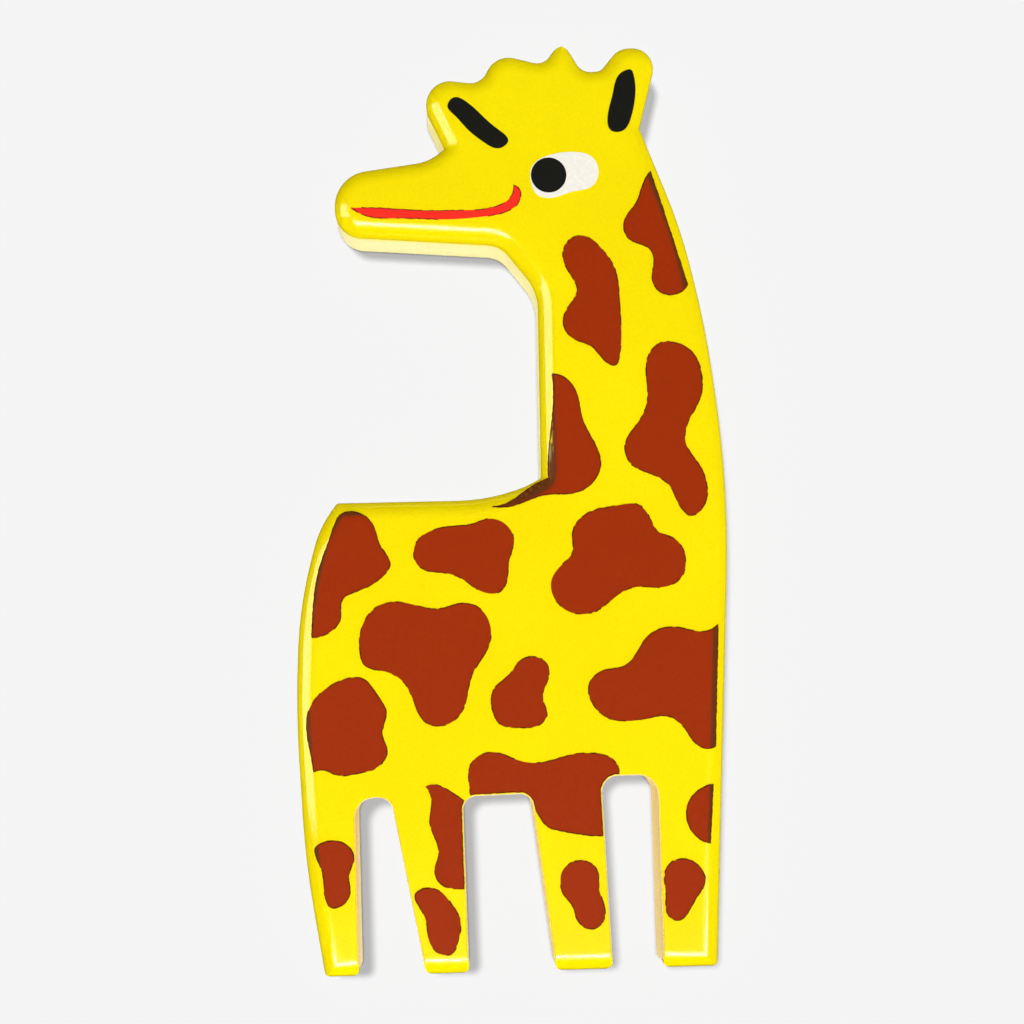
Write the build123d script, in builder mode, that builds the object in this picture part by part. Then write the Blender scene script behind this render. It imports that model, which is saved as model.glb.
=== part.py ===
"""Flat painted giraffe figure, cut from one 9 mm board.

Frame, in millimetres: +Z is the giraffe's height with the foot ends at z = 0, the painted front
faces -Y, the flat back lies at y = +THICK / 2 and the snout points to -X.
"""
import os
from math import atan2, cos, hypot, pi, sin, tan

from build123d import *

# ---- driving dimensions ------------------------------------------------------------------------
THICK = 9.0  # board with its lacquer, front to back
ROUND = 2.0  # round-over routed along the outer contour of the front
COAT = 0.12  # lacquer build on the front and the round-over
LAP = 0.25  # lacquer carried past the round-over onto the outer wall
INK = 0.05  # printed marks
PUPIL_INK = 0.07  # second pass of black over the eye
FOOT_CORNER = 0.85  # plan radius at both ends of every foot
EASE = 0.2  # sanded chamfer along the front edges of the gaps
MAGNET_D, MAGNET_T = 12.0, 3.0  # ferrite disc
POCKET_D, POCKET_T = 12.4, 3.15  # blind hole for a disc and its adhesive
MAGNETS = {"upper": (8.3, 86.0), "lower": (0.6, 36.0)}  # pocket centres, x and z

FRONT, BACK = -THICK / 2, THICK / 2

# Corners of the outer contour, clockwise seen from the front: x, z and the plan radius there.
CONTOUR = [
    (-18.28, 79.37, 3.0),  # chin
    (-18.35, 86.01, 3.9),  # nose
    (-8.1, 87.39, 5.0),  # bridge of the snout
    (-6.19, 88.8, 0.3),  # notch under the left ear
    (-8.03, 92.79, 2.0),  # back of the left ear
    (-8.46, 96.75, 2.6),  # tip of the left ear
    (-2.14, 95.9, 2.0),
    (-0.38, 99.3, 2.6),  # first tuft
    (4.8, 97.94, 1.6),
    (6.87, 100.78, 1.35),  # second tuft
    (9.06, 97.05, 1.6),
    (11.04, 97.13, 1.2),
    (13.12, 99.64, 2.3),  # right ear
    (17.6, 99.69, 2.3),
    (15.19, 90.62, 0.6),  # notch under the right ear
    (19.34, 79.58, 60.0),  # nape
    (21.66, 68.94, 100.0),
    (23.7, 51.14, 115.0),  # chest
    (20.76, 0.0, 0.0),  # outer corner of the fourth foot
    (-20.8, 0.0, 0.0),  # outer corner of the first foot
    (-22.69, 11.97, 90.0),
    (-23.47, 28.65, 110.0),  # rump
    (-22.82, 39.39, 45.0),
    (-20.64, 47.54, 12.0),
    (-18.68, 50.19, 0.9),  # top of the rump
    (-2.59, 50.18, 20.0),  # back
    (1.79, 51.56, 10.0),
    (3.43, 52.47, 0.3),  # foot of the neck
    (3.58, 72.85, 5.5),  # throat
    (-0.4, 78.03, 3.0),
]

TIP, HEEL = 9, 19  # places of the second tuft and of the first foot in the contour

# Gaps between the legs, drawn past the foot ends.
SLOTS = [
    [(-17.15, -3, 0), (-17.28, 18.74, 2.0), (-13.5, 18.65, 1.5), (-9.55, -3, 0)],
    [(-5.55, -3, 0), (-5.84, 18.57, 1.4), (1.39, 18.73, 1.4), (3.95, -3, 0)],
    [(9.65, -3, 0), (8.88, 20.36, 1.7), (14.86, 20.37, 2.1), (14.95, -3, 0)],
]

# Brown patches. Every patch is one or more smooth runs; runs meet at a sharp corner and a lone
# run closes on itself.
PATCHES = {
    "neck_rear": [
        [(16.1, 85.55), (15.05, 83.6), (14.5, 82.15), (13.3, 80.5), (13.0, 79.25), (13.8, 77.85),
         (15.7, 76.95), (16.15, 75.6), (15.9, 73.8), (16.6, 72.25), (18.15, 71.85), (19.75, 73.0)],
        [(19.75, 73.0), (16.1, 85.55)],
    ],
    "neck_front": [
        [(7.95, 78.5), (6.75, 77.75), (6.3, 76.15), (7.25, 74.0), (7.75, 72.5), (6.75, 70.75), (6.15, 68.9),
         (7.15, 67.3), (9.15, 66.4), (10.65, 64.7), (11.6, 64.3), (12.2, 65.6), (12.3, 70.8),
         (11.8, 75.05), (10.3, 77.3)],
    ],
    "neck_low": [
        [(17.7, 66.7), (16.0, 66.25), (15.0, 64.45), (15.05, 61.8), (14.7, 59.4), (13.3, 57.25),
         (12.4, 55.45), (13.05, 53.55), (15.35, 52.35), (17.15, 51.05), (18.15, 48.85), (19.35, 47.85),
         (20.65, 48.75), (21.15, 50.85), (20.3, 53.4), (19.0, 55.6), (19.2, 57.7), (20.5, 60.1),
         (21.0, 62.75), (20.0, 65.5)],
    ],
    "throat": [
        [(4.8, 63.5), (6.15, 63.05), (7.35, 61.45), (7.85, 58.85), (9.05, 56.1), (9.75, 53.6),
         (8.45, 51.3), (6.3, 50.5), (3.6, 50.45), (1.2, 49.65), (-2.0, 49.3)],
        [(-2.0, 49.3), (0.0, 49.85), (1.7, 51.0), (4.15, 52.25)],
        [(4.15, 52.25), (4.25, 55.3), (4.8, 59.6), (4.8, 63.5)],
    ],
    "rump_high": [
        [(-21.5, 35.8), (-21.25, 39.4), (-20.6, 43.05), (-19.25, 46.75), (-18.0, 48.95), (-16.3, 48.95),
         (-14.8, 47.65), (-14.1, 45.5), (-13.05, 43.3), (-14.25, 41.8), (-16.6, 40.6), (-18.2, 39.7),
         (-18.45, 37.65), (-19.65, 36.25), (-21.5, 35.8)],
    ],
    "back": [
        [(-10.5, 44.3), (-9.9, 46.0), (-8.45, 46.9), (-6.15, 47.3), (-4.35, 47.45), (-2.4, 48.0),
         (-0.6, 47.35), (0.25, 45.45), (-0.35, 43.45), (-0.55, 41.6), (-1.35, 40.2), (-3.35, 40.25),
         (-5.25, 41.55), (-7.4, 42.35), (-9.6, 42.8)],
    ],
    "withers": [
        [(6.5, 45.7), (7.1, 47.5), (8.75, 48.6), (11.35, 49.1), (13.65, 49.15), (14.85, 47.75),
         (15.65, 46.25), (17.35, 45.45), (18.55, 43.25), (17.95, 41.15), (16.05, 40.25), (13.45, 40.35),
         (11.15, 39.55), (9.0, 37.95), (6.6, 37.65), (4.6, 39.0), (4.1, 41.1), (5.2, 42.8), (6.5, 44.3)],
    ],
    "flank": [
        [(-16.45, 35.25), (-15.9, 37.35), (-14.3, 39.0), (-12.25, 39.35), (-9.75, 38.75), (-7.6, 38.55),
         (-5.3, 39.05), (-3.45, 38.3), (-2.45, 36.1), (-2.9, 34.05), (-4.4, 31.75), (-5.05, 29.7),
         (-5.65, 27.7), (-7.3, 26.25), (-9.4, 26.35), (-10.7, 28.4), (-11.9, 30.85), (-13.85, 32.0),
         (-15.95, 32.7)],
    ],
    "rump_low": [
        [(-21.55, 21.6), (-22.0, 24.45), (-22.0, 27.95), (-20.45, 30.05), (-18.5, 31.15), (-16.1, 31.25),
         (-14.85, 29.75), (-13.75, 27.5), (-14.25, 25.45), (-13.75, 23.5), (-14.85, 21.9), (-17.0, 21.3),
         (-19.05, 21.2), (-20.25, 21.7), (-21.55, 21.6)],
    ],
    "belly": [
        [(-2.6, 28.6), (-2.0, 30.2), (-0.55, 31.4), (0.55, 32.75), (2.15, 33.15), (3.45, 32.3),
         (3.45, 30.6), (2.85, 28.75), (3.25, 26.85), (2.35, 25.9), (0.5, 25.7), (-1.6, 26.05)],
    ],
    "chest": [
        [(21.85, 36.15), (20.1, 35.4), (17.7, 35.9), (15.55, 35.8), (13.95, 34.7), (12.85, 33.0),
         (11.55, 31.9), (9.35, 31.5), (7.85, 30.05), (8.1, 28.15), (9.55, 26.6), (11.95, 26.1),
         (14.3, 26.4), (16.2, 26.5), (17.9, 25.15), (19.05, 23.55), (20.15, 23.0), (21.15, 23.2)],
        [(21.15, 23.2), (21.85, 36.15)],
    ],
    "belly_low": [
        [(-4.9, 17.45), (-5.15, 19.8), (-4.95, 21.95), (-3.75, 23.0), (-2.25, 23.15), (-0.4, 22.45),
         (1.5, 21.95), (3.45, 22.1), (6.0, 22.75), (8.4, 22.75), (10.15, 22.1), (10.75, 20.9),
         (9.95, 19.8)],
        [(9.95, 19.8), (9.65, 14.2)],
        [(9.65, 14.2), (7.2, 14.2), (4.85, 14.65), (2.95, 15.3), (2.2, 16.3), (1.1, 18.05)],
        [(1.1, 18.05), (-4.9, 17.45)],
    ],
    "leg2_high": [
        [(-9.8, 19.75), (-8.85, 19.95), (-7.65, 19.5), (-6.4, 18.65), (-5.2, 17.75)],
        [(-5.2, 17.75), (-5.15, 8.95)],
        [(-5.15, 8.95), (-6.9, 9.0), (-8.4, 9.55), (-9.0, 10.8), (-8.55, 12.55), (-8.8, 14.15),
         (-9.4, 15.9), (-9.15, 18.0), (-9.8, 19.75)],
    ],
    "leg2_low": [
        [(-10.85, 8.8), (-9.85, 9.15), (-8.7, 8.9), (-7.4, 7.55), (-6.5, 6.0), (-6.7, 3.45),
         (-7.45, 2.2), (-8.85, 2.4), (-9.8, 3.85), (-10.2, 6.25)],
    ],
    "leg1": [
        [(-21.35, 13.8), (-20.35, 14.25), (-18.6, 14.1), (-17.45, 12.55), (-18.05, 10.7), (-17.95, 8.8),
         (-18.65, 7.7), (-20.0, 7.4), (-20.6, 8.8), (-21.0, 11.6)],
    ],
    "leg3": [
        [(4.25, 9.7), (5.05, 11.15), (7.0, 11.5), (8.1, 10.65), (8.3, 8.5), (8.85, 6.4), (8.3, 4.75),
         (7.0, 4.45), (5.95, 5.3), (5.35, 7.05), (4.45, 8.2)],
    ],
    "leg4_high": [
        [(20.75, 19.2), (19.35, 18.75), (18.1, 17.4), (17.85, 15.45), (18.75, 13.8), (20.25, 13.0)],
        [(20.25, 13.0), (20.75, 19.2)],
    ],
    "leg4_low": [
        [(15.3, 10.0), (15.95, 11.05), (17.45, 11.45), (18.95, 10.65), (19.55, 9.1), (18.7, 7.55),
         (17.85, 6.2), (16.65, 5.05), (15.55, 5.6), (15.35, 7.55)],
    ],
}

EAR_MARKS = {
    "left": [
        [(-5.7, 93.45), (-5.0, 94.05), (-3.5, 93.35), (-1.85, 91.75), (-0.35, 90.4), (0.7, 89.1),
         (-0.15, 88.35), (-1.85, 88.95), (-3.6, 90.4), (-5.2, 92.2)],
    ],
    "right": [
        [(14.05, 96.8), (12.9, 96.15), (12.2, 94.05), (11.6, 91.65), (11.95, 90.05), (13.05, 89.95),
         (14.2, 91.6), (14.7, 94.0), (14.6, 96.05)],
    ],
}

EYE = [
    [(3.0, 85.0), (3.55, 86.65), (5.3, 87.5), (7.75, 87.75), (9.65, 87.25), (10.45, 85.5), (9.55, 83.85),
     (7.55, 83.4), (5.35, 82.75), (3.8, 83.05)],
]
PUPIL_X, PUPIL_Z, PUPIL_R = 5.0, 85.25, 1.93

MOUTH = [
    [(-16.4, 82.05), (-13.2, 81.95), (-8.85, 81.6), (-4.15, 81.55), (-0.8, 81.9), (0.7, 82.75),
     (1.2, 84.2)],
    [(1.2, 84.2), (1.9, 83.45), (1.6, 82.2), (0.1, 81.25), (-2.4, 80.8), (-6.65, 80.6),
     (-10.55, 80.8), (-14.0, 80.95), (-15.6, 81.45), (-16.4, 82.05)],
]


# ---- helpers -----------------------------------------------------------------------------------
def turn_at(corners, i):
    """Signed change of heading at corner i; negative on a clockwise contour's outward corners."""
    (ax, az, _), (bx, bz, _), (cx, cz, _) = corners[i - 1], corners[i], corners[(i + 1) % len(corners)]
    angle = atan2(cz - bz, cx - bx) - atan2(bz - az, bx - ax)
    return (angle + pi) % (2 * pi) - pi


def grown(corners, by):
    """The clockwise contour moved outward by a distance, straight stretches staying parallel."""
    moved = []
    for i, (bx, bz, radius) in enumerate(corners):
        (ax, az, _), (cx, cz, _) = corners[i - 1], corners[(i + 1) % len(corners)]
        l1, l2 = hypot(bx - ax, bz - az), hypot(cx - bx, cz - bz)
        n1, n2 = (-(bz - az) / l1, (bx - ax) / l1), (-(cz - bz) / l2, (cx - bx) / l2)
        scale = by / (1 + n1[0] * n2[0] + n1[1] * n2[1])
        outward = turn_at(corners, i) < 0
        new_radius = radius + (by if outward else -by) if radius else 0.0
        moved.append((bx + (n1[0] + n2[0]) * scale, bz + (n1[1] + n2[1]) * scale, new_radius))
    return moved


def trace(corners, sharp_below=0.0):
    """Draw a closed chain of lines and tangent arcs; outward radii under sharp_below stay sharp."""
    ends = []
    for i, (bx, bz, radius) in enumerate(corners):
        (ax, az, _), (cx, cz, _) = corners[i - 1], corners[(i + 1) % len(corners)]
        turn = turn_at(corners, i)
        if radius <= 0 or (turn < 0 and radius < sharp_below):
            ends.append(((bx, bz), None, (bx, bz)))
            continue
        l1, l2 = hypot(bx - ax, bz - az), hypot(cx - bx, cz - bz)
        u, v = ((ax - bx) / l1, (az - bz) / l1), ((cx - bx) / l2, (cz - bz) / l2)
        reach = radius * tan(abs(turn) / 2)
        inner = radius * (1 / cos(abs(turn) / 2) - 1)
        mx, mz = u[0] + v[0], u[1] + v[1]
        size = hypot(mx, mz)
        ends.append(((bx + u[0] * reach, bz + u[1] * reach),
                     (bx + mx / size * inner, bz + mz / size * inner),
                     (bx + v[0] * reach, bz + v[1] * reach)))
    for i, (start, middle, stop) in enumerate(ends):
        if middle is not None:
            ThreePointArc(start, middle, stop)
        Line(stop, ends[(i + 1) % len(ends)][0])


def rounded_side(corners, by, lift):
    """A contour grown by a distance and extruded, with its front edge rounded over."""
    radius = ROUND + by
    with BuildPart() as block:
        with BuildSketch(Plane.XZ.offset(-BACK)):
            with BuildLine():
                trace(grown(corners, by), sharp_below=radius + 0.02)
            make_face()
        extrude(amount=THICK + lift)
        fillet(block.faces().sort_by(Axis.Y)[0].edges(), radius)
    return block.part


def rounded_block(by, lift):
    """The contour grown by a distance, front edge rounded over.

    The narrow second tuft is where the two sides of the round-over run into each other, so each
    side is made on its own, its flank carried on past the tip, and the two are intersected.
    """
    (ax, az, _), (tx, tz, _), (bx, bz, _) = CONTOUR[TIP - 1], CONTOUR[TIP], CONTOUR[TIP + 1]
    far = 20.0
    past = (tx + (tx - ax) * far / (tz - az), tz + far, 0), (tx + (tx - bx) * far / (tz - bz), tz + far, 0)
    left = [*CONTOUR[HEEL:], *CONTOUR[:TIP], past[0], (60, tz + far, 0), (60, 0, 0)]
    right = [(-60, tz + far, 0), past[1], *CONTOUR[TIP + 1:HEEL], (-60, 0, 0)]
    return rounded_side(left, by, lift) & rounded_side(right, by, lift)


def figure_prism(by):
    """Straight prism of the figure's plan: small tips rounded, gaps cut, foot corners eased."""
    with BuildPart() as prism:
        with BuildSketch(Plane.XZ.offset(-BACK - 1)) as plan:
            with BuildLine():
                trace(grown(CONTOUR, by))
            make_face()
            for slot in SLOTS:
                with BuildLine():
                    trace(slot)
                make_face(mode=Mode.SUBTRACT)
            feet = plan.vertices().filter_by(lambda v: abs(v.Y + by) < 0.01)
            fillet(feet, FOOT_CORNER + by)
        extrude(amount=THICK + 2)
    return prism.part


def slot_prisms(clear=0.0):
    """The gaps between the legs as solids, widened by a clearance."""
    with BuildPart() as gaps:
        with BuildSketch(Plane.XZ.offset(-BACK - 1)):
            for slot in SLOTS:
                with BuildLine():
                    trace(grown(slot, clear))
                make_face()
        extrude(amount=THICK + 2)
    return gaps.part


def slot_easing():
    """Tapered cutters that ease the front edges of the gaps."""
    with BuildPart() as cutters:
        for slot in SLOTS:
            for level, by in ((FRONT - 0.1, EASE + 0.1), (FRONT + EASE, 0.0)):
                with BuildSketch(Plane.XZ.offset(-level)):
                    with BuildLine():
                        trace(grown(slot, by))
                    make_face()
            loft(ruled=True)
    return cutters.part


def mark_prism(runs):
    """A printed mark's outline as a prism through the front."""
    with BuildPart() as prism:
        with BuildSketch(Plane.XZ.offset(THICK / 2 - 3)):
            with BuildLine():
                for run in runs:
                    if len(runs) == 1 and run[0] != run[-1]:
                        Spline(*run, periodic=True)
                    elif len(run) == 2:
                        Line(*run)
                    else:
                        Spline(*run)
            make_face()
        extrude(amount=4)
    return prism.part


def slab(y0, y1):
    """Everything between two planes parallel to the front."""
    return Pos(0, (y0 + y1) / 2, 50) * Box(80, y1 - y0, 140)


def save(part, name):
    """Label a piece and write it."""
    part.label = name
    export_step(part, f"parts/{name}.step")


os.makedirs("parts", exist_ok=True)

# ---- board and lacquer -------------------------------------------------------------------------
easing = slot_easing()
outer = (rounded_block(0.0, 0.0) & figure_prism(0.0)) - easing
inner = (rounded_block(-COAT, -COAT) & figure_prism(-COAT)) - easing
lap_end = FRONT + ROUND + LAP
coated = outer & slab(FRONT - 1, lap_end)
uncoated = figure_prism(0.0) & slab(lap_end, BACK)

with BuildPart() as lacquer_coat:
    add(coated)
    add(inner, mode=Mode.SUBTRACT)

# Under the lacquer the board is smaller by the lacquer's build; behind it the board is full size.
with BuildPart() as board:
    add(inner)
    add(uncoated)
    for x, z in MAGNETS.values():
        with BuildSketch(Plane.XZ.offset(-BACK)):
            with Locations((x, z)):
                Circle(POCKET_D / 2)
        extrude(amount=POCKET_T, mode=Mode.SUBTRACT)

save(board.part, "board")
save(lacquer_coat.part, "lacquer_coat")

# ---- magnets and their adhesive ----------------------------------------------------------------
for place, (x, z) in MAGNETS.items():
    with BuildPart() as magnet:
        with BuildSketch(Plane.XZ.offset(-BACK)):
            with Locations((x, z)):
                Circle(MAGNET_D / 2)
        extrude(amount=MAGNET_T)
        chamfer(magnet.edges(), 0.15)
    save(magnet.part, f"magnet_{place}")

    with BuildPart() as glue:
        with BuildSketch(Plane.XZ.offset(MAGNET_T - BACK)):
            with Locations((x, z)):
                Circle(MAGNET_D / 2 - 1)
        extrude(amount=POCKET_T - MAGNET_T)
    save(glue.part, f"glue_{place}")

# ---- printed marks -----------------------------------------------------------------------------
on_board = rounded_block(0.0, 0.0)
open_gaps = slot_prisms(EASE + 0.03)


def film(thickness):
    """A sheet of even thickness lying on the lacquer, open over the gaps between the legs."""
    return rounded_block(thickness, thickness) - on_board - open_gaps


sheet = film(INK)
marks = {f"patch_{name}": runs for name, runs in PATCHES.items()}
marks |= {f"ear_mark_{side}": runs for side, runs in EAR_MARKS.items()}
marks["mouth"] = MOUTH
for name, runs in marks.items():
    cut = sheet & mark_prism(runs)
    with BuildPart() as mark:
        add(cut)
    save(mark.part, name)

with BuildPart() as pupil:
    with BuildSketch(Plane.XZ.offset(-FRONT)):
        with Locations((PUPIL_X, PUPIL_Z)):
            Circle(PUPIL_R)
    extrude(amount=PUPIL_INK)
save(pupil.part, "pupil")

cut = sheet & mark_prism(EYE)
with BuildPart() as eye_white:
    add(cut)
    add(pupil.part, mode=Mode.SUBTRACT)
save(eye_white.part, "eye_white")
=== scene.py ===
"""Flat giraffe figure lying against a pale panel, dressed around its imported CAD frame.

All lengths are in metres. +Z is the giraffe's height, the printed front faces -Y.
"""

import logging
import math
from dataclasses import dataclass, field
from enum import Enum
from typing import Any, Union

import bmesh
import bpy
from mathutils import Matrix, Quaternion, Vector, noise

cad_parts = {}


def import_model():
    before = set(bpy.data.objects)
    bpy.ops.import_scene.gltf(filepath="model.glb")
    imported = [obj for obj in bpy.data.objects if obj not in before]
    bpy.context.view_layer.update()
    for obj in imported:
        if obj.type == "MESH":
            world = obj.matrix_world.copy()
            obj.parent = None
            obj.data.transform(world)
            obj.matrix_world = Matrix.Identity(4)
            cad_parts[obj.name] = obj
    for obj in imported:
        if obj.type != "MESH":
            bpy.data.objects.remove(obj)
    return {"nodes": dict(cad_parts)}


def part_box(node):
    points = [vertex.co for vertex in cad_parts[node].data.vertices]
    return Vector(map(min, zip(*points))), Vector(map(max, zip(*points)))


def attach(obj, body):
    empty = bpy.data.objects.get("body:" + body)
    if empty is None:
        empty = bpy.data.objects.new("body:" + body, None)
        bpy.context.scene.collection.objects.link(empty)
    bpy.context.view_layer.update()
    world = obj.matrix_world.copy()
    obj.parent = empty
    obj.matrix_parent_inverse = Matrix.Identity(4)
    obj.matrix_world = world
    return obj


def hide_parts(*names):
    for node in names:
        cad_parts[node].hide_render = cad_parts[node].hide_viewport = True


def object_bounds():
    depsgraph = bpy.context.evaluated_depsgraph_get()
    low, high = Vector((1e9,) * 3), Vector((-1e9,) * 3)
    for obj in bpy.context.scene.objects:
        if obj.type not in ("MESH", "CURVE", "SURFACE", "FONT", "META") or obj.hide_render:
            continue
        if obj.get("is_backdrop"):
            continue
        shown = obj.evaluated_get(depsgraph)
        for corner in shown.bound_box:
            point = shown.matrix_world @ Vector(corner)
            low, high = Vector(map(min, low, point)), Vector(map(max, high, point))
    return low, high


LOG = logging.getLogger("giraffe")
MM = 0.001
JOIN_DISTANCE = 1e-7  # loose triangles of the coat share corners this close
RIM_JOIN = 0.002 * MM  # the same for the thin films
CLOSED_GAP = 0.001 * MM  # a run whose ends are this close is a closed one
SHARP_ANGLE = math.radians(28)  # edges turned further than this stay crisp
Colour = tuple[float, float, float]
Stretch = tuple[float, float, float]


def rgba(colour: Colour) -> tuple[float, float, float, float]:
    """The colour with full opacity."""
    return (*colour, 1.0)


# ---- shader building ---------------------------------------------------------------------------
class Num:
    """A number socket that can be used in Python expressions."""

    def __init__(self, shader: "Shader", socket: bpy.types.NodeSocket) -> None:
        """Wrap an output socket.

        Args:
            shader: The material that the socket belongs to.
            socket: The output to wrap.
        """
        self.shader = shader
        self.socket = socket

    def _math(self, operation: str, *values: "Value") -> "Num":
        """Add one Math node over the given values."""
        node = self.shader.node("ShaderNodeMath", {"operation": operation}, dict(enumerate(values)))
        return Num(self.shader, node.outputs[0])

    def __add__(self, other: "Value") -> "Num":
        """Sum."""
        return self._math("ADD", self, other)

    def __sub__(self, other: "Value") -> "Num":
        """Difference."""
        return self._math("SUBTRACT", self, other)

    def __rsub__(self, other: "Value") -> "Num":
        """Reflected difference."""
        return self._math("SUBTRACT", other, self)

    def __mul__(self, other: "Value") -> "Num":
        """Product."""
        return self._math("MULTIPLY", self, other)

    __radd__ = __add__
    __rmul__ = __mul__

    def ramp(self, low: float, high: float) -> "Num":
        """A smooth step from 0 at low to 1 at high; low may be the larger one.

        Args:
            low: Value that gives 0.
            high: Value that gives 1.

        Returns:
            The stepped number.
        """
        flipped = low > high
        first, last = (high, low) if flipped else (low, high)
        node = self.shader.node(
            "ShaderNodeMapRange",
            {"interpolation_type": "SMOOTHSTEP"},
            {"Value": self, "From Min": first, "From Max": last},
        )
        step = Num(self.shader, node.outputs[0])
        return 1.0 - step if flipped else step


Value = Union[float, Num]


class Shader:
    """A material with one Principled shader and short ways to add nodes."""

    def __init__(self, name: str, roughness: float, ior: float = 1.5) -> None:
        """Start a material.

        Args:
            name: Name of the finish.
            roughness: Even roughness of the surface.
            ior: Refractive index.
        """
        self.material = bpy.data.materials.new(name)
        self.material.use_nodes = True
        self.tree = self.material.node_tree
        self.tree.nodes.clear()
        look = {"Roughness": roughness, "IOR": ior}
        self.surface = self.node("ShaderNodeBsdfPrincipled", {}, look)
        shown = {"Surface": self.surface.outputs[0]}
        self.output = self.node("ShaderNodeOutputMaterial", {}, shown)
        self._object: bpy.types.NodeSocket | None = None

    def node(self, kind: str, settings: dict[str, Any], inputs: dict[Any, Any]) -> bpy.types.Node:
        """Add a node, set its settings first and then its sockets.

        Args:
            kind: Node type.
            settings: Attributes of the node.
            inputs: Values, sockets or wrapped numbers by socket name or place.

        Returns:
            The new node.
        """
        node = self.tree.nodes.new(kind)
        for key, value in settings.items():
            setattr(node, key, value)
        for key, value in inputs.items():
            self.feed(node.inputs[key], value)
        return node

    def feed(self, socket: bpy.types.NodeSocket, value: Any) -> None:
        """Link a socket or set its value."""
        if isinstance(value, Num):
            value = value.socket
        if isinstance(value, bpy.types.NodeSocket):
            self.tree.links.new(value, socket)
        else:
            socket.default_value = value

    @property
    def place(self) -> bpy.types.NodeSocket:
        """Object coordinates, in metres."""
        if self._object is None:
            self._object = self.node("ShaderNodeTexCoord", {}, {}).outputs["Object"]
        return self._object

    def axes(self, vector: bpy.types.NodeSocket) -> tuple[Num, Num, Num]:
        """The three parts of a vector as numbers."""
        split = self.node("ShaderNodeSeparateXYZ", {}, {0: vector})
        return tuple(Num(self, out) for out in split.outputs)

    def facing(self) -> tuple[Num, Num, Num]:
        """The three parts of the surface's own direction."""
        return self.axes(self.node("ShaderNodeNewGeometry", {}, {}).outputs["Normal"])

    def noise(self, period: float, detail: float = 2.0,
              stretch: Stretch = (1.0, 1.0, 1.0)) -> Num:
        """Soft noise between 0 and 1.

        Args:
            period: Size of one blot.
            detail: Octaves.
            stretch: How much longer a blot is along each axis.

        Returns:
            The noise.
        """
        scale = Vector([1.0 / s for s in stretch])
        place = self.node("ShaderNodeMapping", {}, {"Vector": self.place, "Scale": scale})
        made = self.node(
            "ShaderNodeTexNoise", {},
            {"Vector": place.outputs[0], "Scale": 1.0 / period, "Detail": detail},
        )
        return Num(self, made.outputs[0])

    def specks(self, spacing: float, radius: float) -> Num:
        """Scattered round dots: 1 inside a dot, 0 outside.

        Args:
            spacing: Mean distance between dots.
            radius: Radius of a dot.

        Returns:
            The mask.
        """
        cells = self.node(
            "ShaderNodeTexVoronoi", {}, {"Vector": self.place, "Scale": 1.0 / spacing}
        )
        edge = radius / spacing
        return Num(self, cells.outputs["Distance"]).ramp(edge * 1.15, edge * 0.7)

    def mix(self, first: Any, second: Any, share: Value) -> bpy.types.NodeSocket:
        """Blend two colours.

        Args:
            first: Colour where the share is 0.
            second: Colour where the share is 1.
            share: How much of the second.

        Returns:
            The blended colour.
        """
        made = self.node("ShaderNodeMix", {"data_type": "RGBA"}, {})
        self.feed(made.inputs[0], share)
        for place, colour in ((6, first), (7, second)):
            plain = isinstance(colour, tuple)
            self.feed(made.inputs[place], rgba(colour) if plain else colour)
        return made.outputs[2]

    def colour(self, value: Any) -> None:
        """Set the base colour."""
        plain = isinstance(value, tuple)
        self.feed(self.surface.inputs["Base Color"], rgba(value) if plain else value)

    def bump(self, height: Num, depth: float) -> None:
        """Raise the surface by a height pattern.

        Args:
            height: Pattern between 0 and 1.
            depth: Height in metres where the pattern is 1.
        """
        made = self.node("ShaderNodeBump", {}, {"Height": height, "Distance": depth})
        self.feed(self.surface.inputs["Normal"], made.outputs[0])


# ---- finishes ----------------------------------------------------------------------------------
@dataclass(frozen=True)
class Lacquer:
    """Thick glossy yellow lacquer with a fine orange peel."""

    colour: Colour = (0.985, 0.800, 0.0006)
    deep: Colour = (0.935, 0.730, 0.0005)
    dust: Colour = (0.62, 0.50, 0.02)
    roughness: float = 0.095
    peel: float = 0.9 * MM
    peel_depth: float = 0.006 * MM

    def build(self) -> bpy.types.Material:
        """The finished material."""
        shader = Shader("yellow_lacquer", self.roughness, 1.48)
        drift = shader.noise(14 * MM, 1.0).ramp(0.35, 0.65)
        mottle = shader.noise(0.28 * MM, 3.0).ramp(0.42, 0.72)
        tone = shader.mix(self.colour, self.deep, drift * 0.4 + mottle * 0.6)
        dust = shader.specks(4.2 * MM, 0.07 * MM) * shader.noise(9 * MM, 0.0).ramp(0.5, 0.58)
        shader.colour(shader.mix(tone, self.dust, dust * 0.45))
        shader.bump(shader.noise(self.peel, 2.0), self.peel_depth)
        return shader.material


class Colourway(Enum):
    """The four printing inks: name, flat colour, painted shade colour where the sheet wraps the
    rounded edge.
    """

    BROWN = ("brown_ink", (0.322, 0.0275, 0.0020), (0.120, 0.034, 0.0080))
    BLACK = ("black_ink", (0.0105, 0.0105, 0.0080), (0.012, 0.012, 0.009))
    WHITE = ("white_ink", (0.860, 0.828, 0.735), (0.84, 0.80, 0.68))
    RED = ("red_ink", (0.935, 0.0285, 0.0180), (0.80, 0.05, 0.02))


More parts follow.
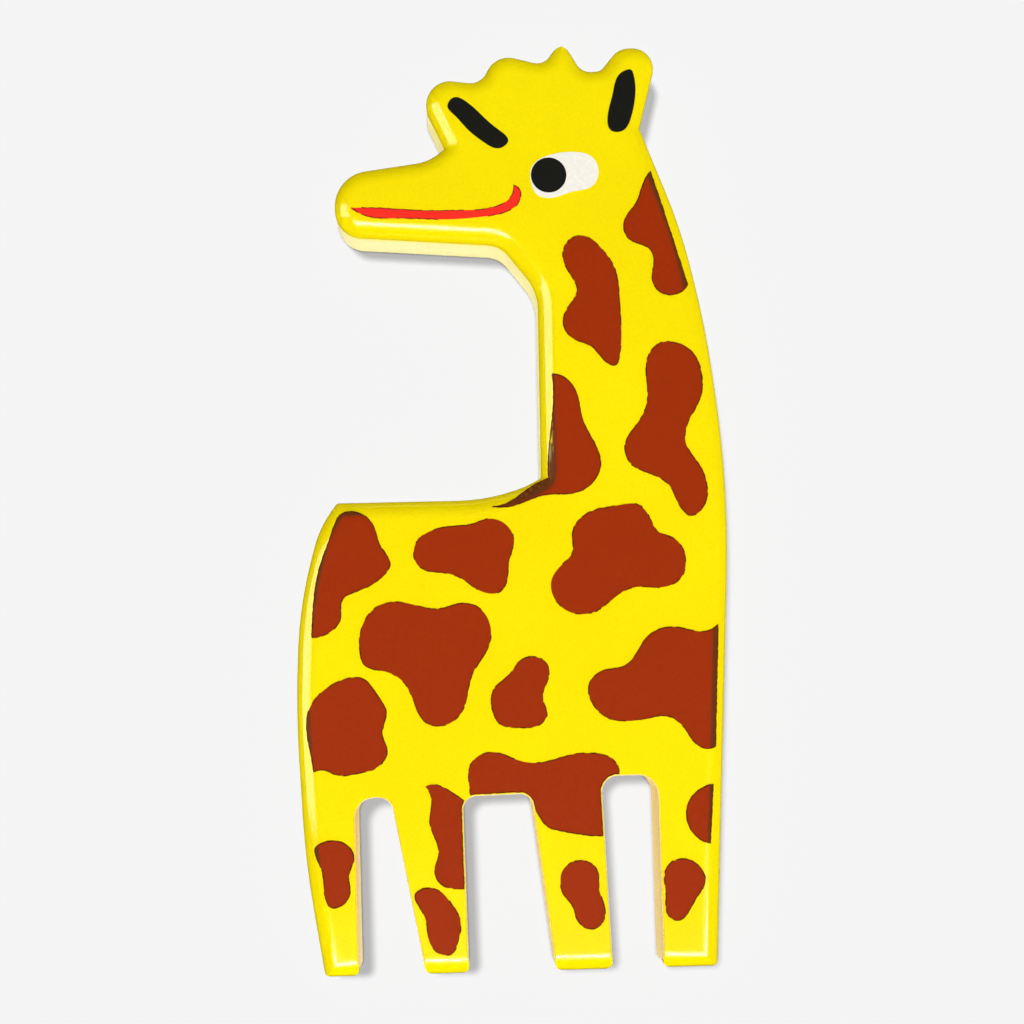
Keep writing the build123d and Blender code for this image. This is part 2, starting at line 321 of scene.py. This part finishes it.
@dataclass(frozen=True)
class Ink:
    """Thin printing ink over the lacquer, with painted shade darkening it where it wraps the
    rounded edge.

    With missed set it is the thin print at the throat: greyed up the neck, with bare streaks.
    """

    way: Colourway
    front: float
    missed: bool = False
    roughness: float = 0.32
    specular: float = 0.04
    # Where the painted shade on the rounded edge starts, ends and wavers.
    edge_shade_start: float = 0.012 * MM
    edge_shade_end: float = 0.10 * MM
    edge_shade_waver: float = 0.05 * MM
    neck_start: float = 53.6 * MM
    neck_end: float = 55.0 * MM
    greyed: Colour = (0.42, 0.34, 0.16)
    uncovered: Colour = (0.90, 0.62, 0.01)

    def build(self) -> bpy.types.Material:
        """The finished material."""
        name, flat, edge_shade_colour = self.way.value
        shader = Shader(name + ("_thin" if self.missed else ""), self.roughness, 1.45)
        shader.surface.inputs["Specular IOR Level"].default_value = self.specular
        _, across, height = shader.axes(shader.place)
        depth = across - self.front
        # Painted shade: the ink is darkened where the film turns over the rounded edge.
        patchy = shader.noise(1.1 * MM, 2.0)
        edge_shade = depth + (patchy - 0.5) * self.edge_shade_waver
        edge_shade = edge_shade.ramp(self.edge_shade_start, self.edge_shade_end)
        pale = tuple(min(1.0, c * 1.10 + 0.001) for c in flat)
        tone = shader.mix(flat, pale, shader.noise(0.45 * MM, 3.0).ramp(0.38, 0.7) * 0.6)
        tone = shader.mix(tone, edge_shade_colour, edge_shade * 0.92)
        if self.missed:
            streaks = shader.noise(0.30 * MM, 2.0, (1.0, 1.0, 5.0)).ramp(0.52, 0.60)
            neck = height.ramp(self.neck_start, self.neck_end)
            greying = depth.ramp(0.16 * MM, 0.34 * MM) * neck * 0.8
            grey = shader.mix(tone, self.greyed, greying)
            bare = streaks * depth.ramp(0.10 * MM, 0.25 * MM) * (0.06 + 0.84 * neck)
            tone = shader.mix(grey, self.uncovered, bare)
        shader.colour(tone)
        shader.bump(shader.noise(0.8 * MM, 2.0), 0.003 * MM)
        return shader.material


@dataclass(frozen=True)
class Bead:
    """The darker bead along the outline of a printed film."""

    way: Colourway
    depth: float = 0.22
    roughness: float = 0.4
    specular: float = 0.04

    def build(self) -> bpy.types.Material:
        """The finished material."""
        name, flat, _ = self.way.value
        shader = Shader(name + "_bead", self.roughness, 1.45)
        shader.surface.inputs["Specular IOR Level"].default_value = self.specular
        deep = tuple(c * self.depth for c in flat)
        shader.colour(shader.mix(deep, flat, shader.noise(0.6 * MM, 2.0).ramp(0.45, 0.7) * 0.6))
        return shader.material


@dataclass(frozen=True)
class RawBoard:
    """Fibreboard: sanded back, speckled gaps between the legs, outer wall misted with lacquer."""

    fibre: Colour = (0.88, 0.69, 0.28)
    light: Colour = (0.97, 0.86, 0.47)
    dark: Colour = (0.50, 0.335, 0.11)
    mist: Colour = (0.975, 0.90, 0.42)
    yellowed: Colour = (0.99, 0.86, 0.10)
    back: Colour = (0.60, 0.435, 0.235)
    gap_top: float = 21.0 * MM
    gap_left: float = -17.9 * MM
    gap_right: float = 16.0 * MM
    gap_edge: float = 0.2 * MM
    lap_end: float = -2.25 * MM
    mist_fade: float = 1.3 * MM

    def build(self) -> bpy.types.Material:
        """The finished material."""
        shader = Shader("raw_board", 0.85, 1.4)
        x, y, z = shader.axes(shader.place)
        behind = shader.facing()[1].ramp(0.6, 0.8)
        gap = (
            x.ramp(self.gap_left - self.gap_edge, self.gap_left)
            * x.ramp(self.gap_right + self.gap_edge, self.gap_right)
            * z.ramp(self.gap_top + self.gap_edge, self.gap_top)
            * z.ramp(0.2 * MM, 0.9 * MM)
        )
        fine = shader.noise(0.22 * MM, 3.0)
        flat_fibres = shader.noise(0.30 * MM, 2.0, (5.0, 1.0, 2.0))
        raw = shader.mix(self.fibre, self.light, fine.ramp(0.45, 0.68))
        raw = shader.mix(raw, self.dark, shader.specks(0.34 * MM, 0.085 * MM) * 0.55)
        raw = shader.mix(raw, self.dark, flat_fibres.ramp(0.55, 0.75) * 0.25)
        near_lap = y.ramp(self.lap_end + self.mist_fade, self.lap_end)
        misted = shader.mix(self.mist, self.yellowed, near_lap)
        misted = shader.mix(misted, self.fibre, fine.ramp(0.50, 0.70) * 0.6)
        cloudy = shader.noise(0.5 * MM, 4.0).ramp(0.42, 0.7)
        sanded = shader.mix(self.back, self.fibre, cloudy * 0.45)
        sanded = shader.mix(sanded, self.dark, shader.specks(0.6 * MM, 0.11 * MM) * 0.4)
        wall = shader.mix(misted, raw, gap)
        shader.colour(shader.mix(wall, sanded, behind))
        shader.bump(fine, 0.03 * MM)
        return shader.material


@dataclass(frozen=True)
class Ferrite:
    """Ground ferrite with fine straight scratches across its face."""

    colour: Colour = (0.060, 0.060, 0.064)
    worn: Colour = (0.115, 0.115, 0.120)

    def build(self) -> bpy.types.Material:
        """The finished material."""
        shader = Shader("ferrite", 0.42, 2.0)
        lines = shader.noise(0.25 * MM, 3.0, (12.0, 1.0, 1.0))
        shader.colour(shader.mix(self.colour, self.worn, lines.ramp(0.4, 0.7)))
        shader.bump(lines, 0.008 * MM)
        return shader.material


@dataclass(frozen=True)
class Adhesive:
    """Set adhesive, milky and smooth."""

    colour: Colour = (0.80, 0.74, 0.56)

    def build(self) -> bpy.types.Material:
        """The finished material."""
        shader = Shader("adhesive", 0.3, 1.45)
        shader.colour(self.colour)
        shader.bump(shader.noise(1.5 * MM), 0.03 * MM)
        return shader.material


# ---- the figure --------------------------------------------------------------------------------
def dress(piece: bpy.types.Object, material: bpy.types.Material) -> None:
    """Give a piece one material."""
    piece.data.materials.clear()
    piece.data.materials.append(material)


def merged_copy(node: bpy.types.Object, name: str) -> bpy.types.Object:
    """A copy of a CAD node whose loose triangles are joined, with smooth runs shaded smooth.

    Args:
        node: The CAD node.
        name: Name of the new piece.

    Returns:
        The new piece, riding on the only body.
    """
    mesh = bpy.data.meshes.new(name)
    work = bmesh.new()
    work.from_mesh(node.data)
    bmesh.ops.remove_doubles(work, verts=work.verts, dist=JOIN_DISTANCE)
    for face in work.faces:
        face.smooth = True
    for edge in work.edges:
        edge.smooth = len(edge.link_faces) == 2 and edge.calc_face_angle(0.0) < SHARP_ANGLE
    work.to_mesh(mesh)
    work.free()
    piece = bpy.data.objects.new(name, mesh)
    bpy.context.scene.collection.objects.link(piece)
    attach(piece, "root")
    return piece


@dataclass
class CoatedBoard:
    """The sawn board and the lacquer over its front and rounded edge."""

    nodes: dict[str, bpy.types.Object]

    def build(self) -> list[bpy.types.Object]:
        """Dress the board and lay a smooth lacquer skin in place of the plain one."""
        board = self.nodes["board"]
        dress(board, RawBoard().build())
        coat = merged_copy(self.nodes["lacquer_coat"], "lacquer_skin")
        dress(coat, Lacquer().build())
        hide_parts("lacquer_coat")
        return [board, coat]


@dataclass
class Prints:
    """Printed patches, ear marks, mouth and eye; brown and red ones end in a dark bead of ink."""

    nodes: dict[str, bpy.types.Object]
    step: float = 0.17 * MM  # between two points of a bead
    bead: float = 0.060 * MM  # radius of a bead
    stray: float = 0.040 * MM  # how far a bead strays sideways
    sunk: float = 0.30  # share of the radius that is sunk into the film
    waver: float = 0.45 * MM  # length over which a bead strays
    swell: float = 0.5  # share by which a bead thickens and thins

    def build(self) -> list[bpy.types.Object]:
        """Dress every printed film and add the beads."""
        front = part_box("patch_flank")[0].y
        inks = {way: Ink(way, front).build() for way in Colourway}
        thin = Ink(Colourway.BROWN, front, missed=True).build()
        beads = {way: Bead(way).build() for way in (Colourway.BROWN, Colourway.RED)}
        made = []
        for name, node in sorted(self.nodes.items()):
            way = self.way_of(name)
            if way is None:
                continue
            dress(node, thin if name == "patch_throat" else inks[way])
            made.append(node)
            if way in beads:
                bead = self.outline(node, f"bead_{name.removeprefix('patch_')}")
                dress(bead, beads[way])
                made.append(bead)
        return made

    def outline(self, node: bpy.types.Object, name: str) -> bpy.types.Object:
        """A thin uneven bead of ink along the upper outline of a film.

        Args:
            node: The CAD film.
            name: Name of the new piece.

        Returns:
            The new piece.
        """
        work = bmesh.new()
        work.from_mesh(node.data)
        bmesh.ops.remove_doubles(work, verts=work.verts, dist=RIM_JOIN)
        work.normal_update()
        ring = {edge for edge in work.edges if self.is_rim(edge)}
        data = bpy.data.curves.new(name, "CURVE")
        data.dimensions, data.bevel_depth, data.bevel_resolution = "3D", self.bead, 1
        while ring:
            self.thread(data, self.walk(ring))
        work.free()
        line = bpy.data.objects.new(name + "_line", data)
        bpy.context.scene.collection.objects.link(line)
        solid = line.evaluated_get(bpy.context.evaluated_depsgraph_get())
        piece = bpy.data.objects.new(name, bpy.data.meshes.new_from_object(solid))
        bpy.data.objects.remove(line)
        bpy.context.scene.collection.objects.link(piece)
        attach(piece, "root")
        return piece

    @staticmethod
    def is_rim(edge: bmesh.types.BMEdge) -> bool:
        """Whether an edge lies between the film's upper face and its cut side."""
        if len(edge.link_faces) != 2:
            return False
        low, high = sorted(face.normal.y for face in edge.link_faces)
        return low < -0.35 and abs(high) < 0.2

    @staticmethod
    def walk(ring: set[bmesh.types.BMEdge]) -> list[Vector]:
        """Take one connected run of edges out of the set.

        Args:
            ring: Edges that are left; the run is removed from it.

        Returns:
            The run's points in order; the first is repeated at the end of a closed run.
        """
        edge = ring.pop()
        first, last = edge.verts
        points = [first.co.copy(), last.co.copy()]
        for vert, grow in ((last, points.append), (first, lambda co: points.insert(0, co))):
            while True:
                following = next((e for e in vert.link_edges if e in ring), None)
                if following is None:
                    break
                ring.remove(following)
                vert = following.other_vert(vert)
                grow(vert.co.copy())
        return points

    def thread(self, data: bpy.types.Curve, points: list[Vector]) -> None:
        """Add one run to the bead as a finely stepped, slightly straying line."""
        fine: list[Vector] = []
        for start, stop in zip(points, points[1:]):
            steps = max(1, round((stop - start).length / self.step))
            fine += [start.lerp(stop, i / steps) for i in range(steps)]
        closed = (points[0] - points[-1]).length < CLOSED_GAP
        if not closed:
            fine.append(points[-1])
        if len(fine) < 4:
            return
        spline = data.splines.new("POLY")
        spline.points.add(len(fine) - 1)
        spline.use_cyclic_u = closed
        for point, place in zip(spline.points, fine):
            drift = noise.noise_vector(place / self.waver)
            drift += noise.noise_vector(place * 3.1 / self.waver)
            moved = place + Vector((drift.x, 0.0, drift.z)) * self.stray
            point.co = (moved.x, place.y + self.bead * self.sunk, moved.z, 1.0)
            swelling = noise.noise(place / self.waver + Vector((7, 0, 0)))
            point.radius = 1.0 + self.swell * swelling

    @staticmethod
    def way_of(name: str) -> Colourway | None:
        """The ink that a node is printed in, or None for a piece that isn't printed."""
        if name.startswith("patch_"):
            return Colourway.BROWN
        if name.startswith("ear_mark_") or name == "pupil":
            return Colourway.BLACK
        return {"mouth": Colourway.RED, "eye_white": Colourway.WHITE}.get(name)


@dataclass
class Magnets:
    """The two disc magnets in the back and the adhesive that holds them."""

    nodes: dict[str, bpy.types.Object]

    def build(self) -> list[bpy.types.Object]:
        """Dress discs and adhesive."""
        ferrite, adhesive = Ferrite().build(), Adhesive().build()
        made = []
        for place in ("upper", "lower"):
            for kind, finish in (("magnet", ferrite), ("glue", adhesive)):
                node = self.nodes[f"{kind}_{place}"]
                dress(node, finish)
                made.append(node)
        return made


# ---- surroundings ------------------------------------------------------------------------------
@dataclass
class Panel:
    """The pale panel that the figure lies against; from behind it lets the back be seen."""

    half: float = 0.9
    height: float = 0.05
    gap: float = 0.03 * MM
    shade: float = 0.03

    def build(self, back: float) -> bpy.types.Object:
        """Make the panel just behind the figure.

        Args:
            back: Place of the figure's back along Y.

        Returns:
            The panel.
        """
        work = bmesh.new()
        bmesh.ops.create_grid(work, x_segments=1, y_segments=1, size=self.half)
        turn = Quaternion((1, 0, 0), math.radians(90)).to_matrix()
        bmesh.ops.rotate(work, verts=work.verts, matrix=turn)
        bmesh.ops.translate(work, verts=work.verts, vec=(0, back + self.gap, self.height))
        mesh = bpy.data.meshes.new("panel")
        work.to_mesh(mesh)
        work.free()
        panel = bpy.data.objects.new("panel", mesh)
        bpy.context.scene.collection.objects.link(panel)
        shader = Shader("panel_paper", 1.0)
        plain = shader.node("ShaderNodeBsdfDiffuse", {}, {"Color": rgba((self.shade,) * 3)})
        clear = shader.node("ShaderNodeBsdfTransparent", {}, {})
        side = shader.node("ShaderNodeNewGeometry", {}, {}).outputs["Backfacing"]
        both = shader.node(
            "ShaderNodeMixShader", {}, {0: side, 1: plain.outputs[0], 2: clear.outputs[0]}
        )
        shader.feed(shader.output.inputs["Surface"], both.outputs[0])
        dress(panel, shader.material)
        panel.visible_glossy = False
        panel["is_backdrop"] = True
        return panel


def direction(left: float, down: float) -> Vector:
    """Unit vector from the figure towards a light.

    Args:
        left: Degrees to the left of straight in front.
        down: Degrees below straight in front.

    Returns:
        The direction.
    """
    a, b = math.radians(left), math.radians(down)
    return Vector((-math.sin(a) * math.cos(b), -math.cos(a) * math.cos(b), -math.sin(b)))


@dataclass
class Studio:
    """Soft lights: some for the figure, some for the panel, some only for reflections."""

    middle: Vector
    pale: float = 0.905
    figure: bpy.types.Collection = field(init=False)
    paper: bpy.types.Collection = field(init=False)

    def __post_init__(self) -> None:
        """Make the two light-linking groups."""
        self.figure = bpy.data.collections.new("lit_figure")
        self.paper = bpy.data.collections.new("lit_paper")

    def gather(self, pieces: list[bpy.types.Object], panel: bpy.types.Object) -> None:
        """Put the pieces and the panel in their light-linking groups."""
        for piece in pieces:
            self.figure.objects.link(piece)
        self.paper.objects.link(panel)

    def sun(self, name: str, towards: Vector, power: float, spread: float,
            receivers: bpy.types.Collection) -> bpy.types.Object:
        """A soft light from far away that leaves no reflection.

        Args:
            name: Name of the light.
            towards: Direction to the light.
            power: Strength; pi lights a facing surface fully.
            spread: Angular size in degrees.
            receivers: What the light falls on.

        Returns:
            The light.
        """
        data = bpy.data.lights.new(name, "SUN")
        data.energy, data.angle = power, math.radians(spread)
        return self._place(name, data, self.middle + towards * 0.5, towards, receivers, False)

    def softbox(self, name: str, towards: Vector, distance: float, size: tuple[float, float],
                power: float, only_reflection: bool) -> bpy.types.Object:
        """A rectangular light.

        Args:
            name: Name of the light.
            towards: Direction to the light.
            distance: How far away it stands.
            size: Width and height.
            power: Strength in watts.
            only_reflection: Seen in reflections only, or else lighting only.

        Returns:
            The light.
        """
        data = bpy.data.lights.new(name, "AREA")
        data.shape, data.size, data.size_y, data.energy = "RECTANGLE", size[0], size[1], power
        where = self.middle + towards * distance
        lamp = self._place(name, data, where, towards, self.figure, only_reflection)
        lamp.visible_diffuse = not only_reflection
        return lamp

    def _place(self, name: str, data: bpy.types.Light, where: Vector, towards: Vector,
               receivers: bpy.types.Collection, glossy: bool) -> bpy.types.Object:
        """Put a lamp in the scene, aimed back along a direction, shaded by the figure only."""
        lamp = bpy.data.objects.new(name, data)
        bpy.context.scene.collection.objects.link(lamp)
        lamp.location = where
        lamp.rotation_mode = "QUATERNION"
        lamp.rotation_quaternion = towards.to_track_quat("Z", "Y")
        lamp.light_linking.receiver_collection = receivers
        lamp.light_linking.blocker_collection = self.figure
        lamp.visible_camera = False
        lamp.visible_glossy = glossy
        return lamp

    def build(self) -> None:
        """Set up the backdrop light and every lamp."""
        full = math.pi
        # The panel: straight fill and a slightly slanted key that throws the narrow shadow.
        share = self.pale / Panel.shade
        self.sun("panel_fill", direction(0, 0), full * share * 0.515, 4, self.paper)
        self.sun("panel_key", direction(8, -8), full * share * 0.498, 7, self.paper)
        # The figure: a wide dome, a low front light, and light from behind for the back.
        self.sun("figure_dome", direction(5, 10), full * 0.595, 150, self.figure)
        self.softbox("figure_front", direction(8, 30), 0.46, (0.3, 0.3), 1.22, False)
        self.sun("figure_right", direction(-62, 6), full * 0.16, 60, self.figure)
        self.sun("figure_back", direction(205, -25), full * 0.85, 120, self.figure)
        # Reflections only.
        self.softbox("shine_low", direction(0, 33), 1.2, (1.2, 0.36), 19.0, True)
        self.softbox("shine_low_wide", direction(0, 34), 1.2, (1.3, 0.95), 5.5, True)
        self.softbox("shine_left", direction(60, -4), 0.5, (0.5, 0.24), 1.8, True)
        world = bpy.data.worlds.new("backdrop")
        world.use_nodes = True
        sky = world.node_tree.nodes["Background"]
        sky.inputs["Color"].default_value = rgba((self.pale,) * 3)
        seen = world.cycles_visibility
        seen.diffuse = seen.glossy = seen.transmission = seen.scatter = False
        bpy.context.scene.world = world
        bpy.context.scene.view_settings.view_transform = "Standard"


@dataclass
class Viewpoint:
    """The camera: a little below the middle and to the left, rolled by under two degrees."""

    at: Vector = Vector((-5.90, -231.34, 29.76)) * MM
    aim: Vector = Vector((0.346, 4.5, 49.425)) * MM
    roll: float = -1.445
    lens: float = 74.81
    sensor: float = 36.0

    def build(self) -> bpy.types.Object:
        """Make the camera and use it."""
        data = bpy.data.cameras.new("camera")
        data.lens, data.sensor_width = self.lens, self.sensor
        data.clip_start, data.clip_end = 0.01, 10.0
        camera = bpy.data.objects.new("camera", data)
        bpy.context.scene.collection.objects.link(camera)
        camera.location = self.at
        camera.rotation_mode = "QUATERNION"
        facing = (self.aim - self.at).to_track_quat("-Z", "Y")
        camera.rotation_quaternion = facing @ Quaternion((0, 0, 1), math.radians(self.roll))
        bpy.context.scene.camera = camera
        return camera


def main() -> None:
    """Build the figure, its surroundings and the camera."""
    logging.basicConfig(level=logging.INFO, format="%(name)s: %(message)s")
    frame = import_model()
    cad_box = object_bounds()
    nodes = frame["nodes"]
    pieces: list[bpy.types.Object] = []
    for part in (CoatedBoard(nodes), Prints(nodes), Magnets(nodes)):
        for piece in part.build():
            LOG.info("%s: %d faces", piece.name, len(piece.data.polygons))
            pieces.append(piece)
    panel = Panel().build(cad_box[1].y)
    studio = Studio((cad_box[0] + cad_box[1]) / 2)
    studio.gather(pieces, panel)
    studio.build()
    Viewpoint().build()


if __name__ == "__main__":
    main()
